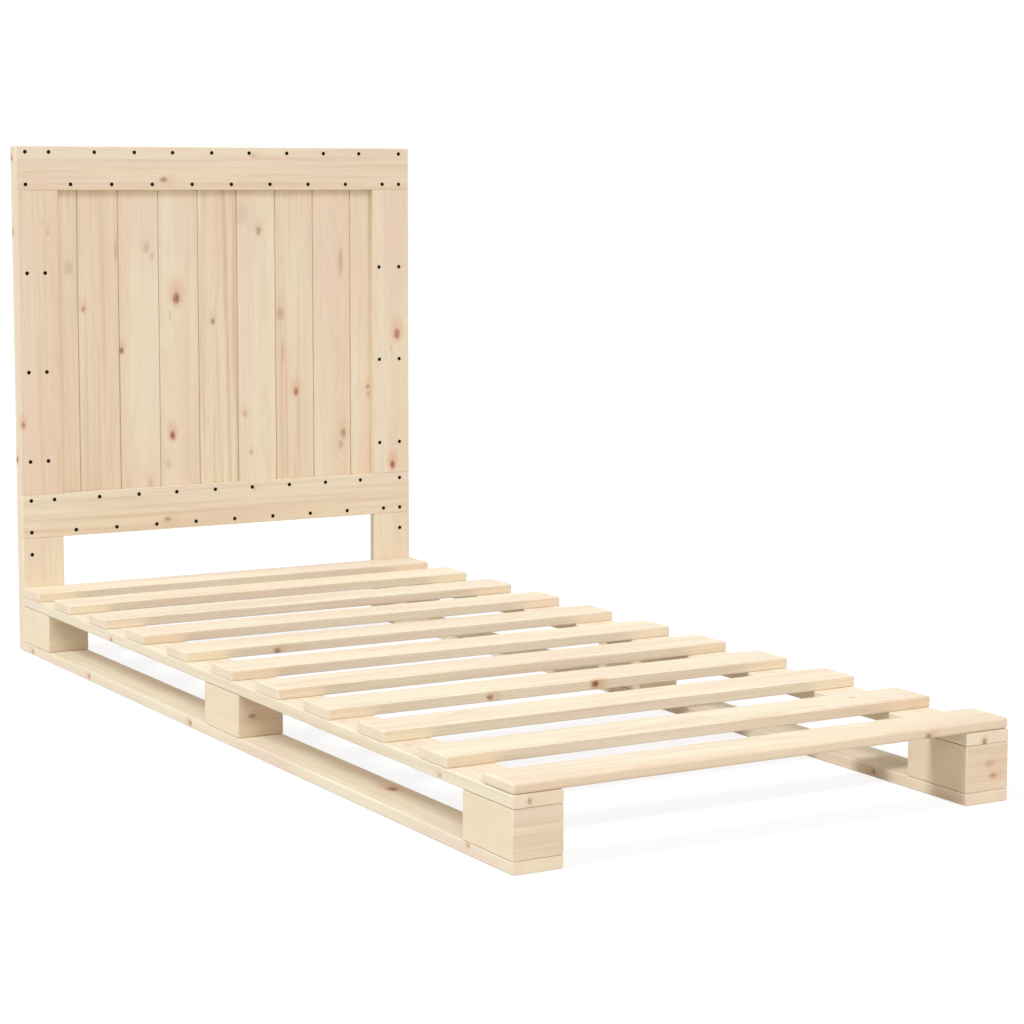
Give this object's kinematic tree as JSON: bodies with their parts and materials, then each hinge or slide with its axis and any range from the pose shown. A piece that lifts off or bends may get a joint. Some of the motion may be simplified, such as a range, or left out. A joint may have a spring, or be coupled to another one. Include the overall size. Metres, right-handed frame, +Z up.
{
  "type": "bed frame",
  "caption": "Low single bed frame of plain planed softwood on pallet runners, with cross slats and a tall planked headboard held by black screws.",
  "frame": {"origin": "on the floor, under the middle of the bed", "axes": "+X across the bed to the right as seen from the foot, +Y along the bed to the headboard, +Z up"},
  "size_m": [0.9, 2.034, 1.04],
  "materials": {
    "pine": "planed, unfinished",
    "black_screw": "black phosphate, satin"
  },
  "bodies": {
    "root": {"top_rail": "pine", "mid_rail": "pine", "left_stile": "pine", "left_leg": "pine", "left_post": "pine", "left_bottom_board": "pine", "left_top_board": "pine", "left_foot_block": "pine", "left_middle_block": "pine", "left_head_block": "pine", "right_stile": "pine", "right_leg": "pine", "right_post": "pine", "right_bottom_board": "pine", "right_top_board": "pine", "right_foot_block": "pine", "right_middle_block": "pine", "right_head_block": "pine", "plank_1": "pine", "plank_2": "pine", "plank_3": "pine", "plank_4": "pine", "plank_5": "pine", "plank_6": "pine", "plank_7": "pine", "plank_8": "pine", "plank_9": "pine", "slat_1": "pine", "slat_2": "pine", "slat_3": "pine", "slat_4": "pine", "slat_5": "pine", "slat_6": "pine", "slat_7": "pine", "slat_8": "pine", "slat_9": "pine", "slat_10": "pine", "slat_11": "pine", "headboard_screws": "black_screw", "slat_screws": "black_screw", "block_screws": "black_screw", "joining_screws": "black_screw"}
  },
  "joints": []
}
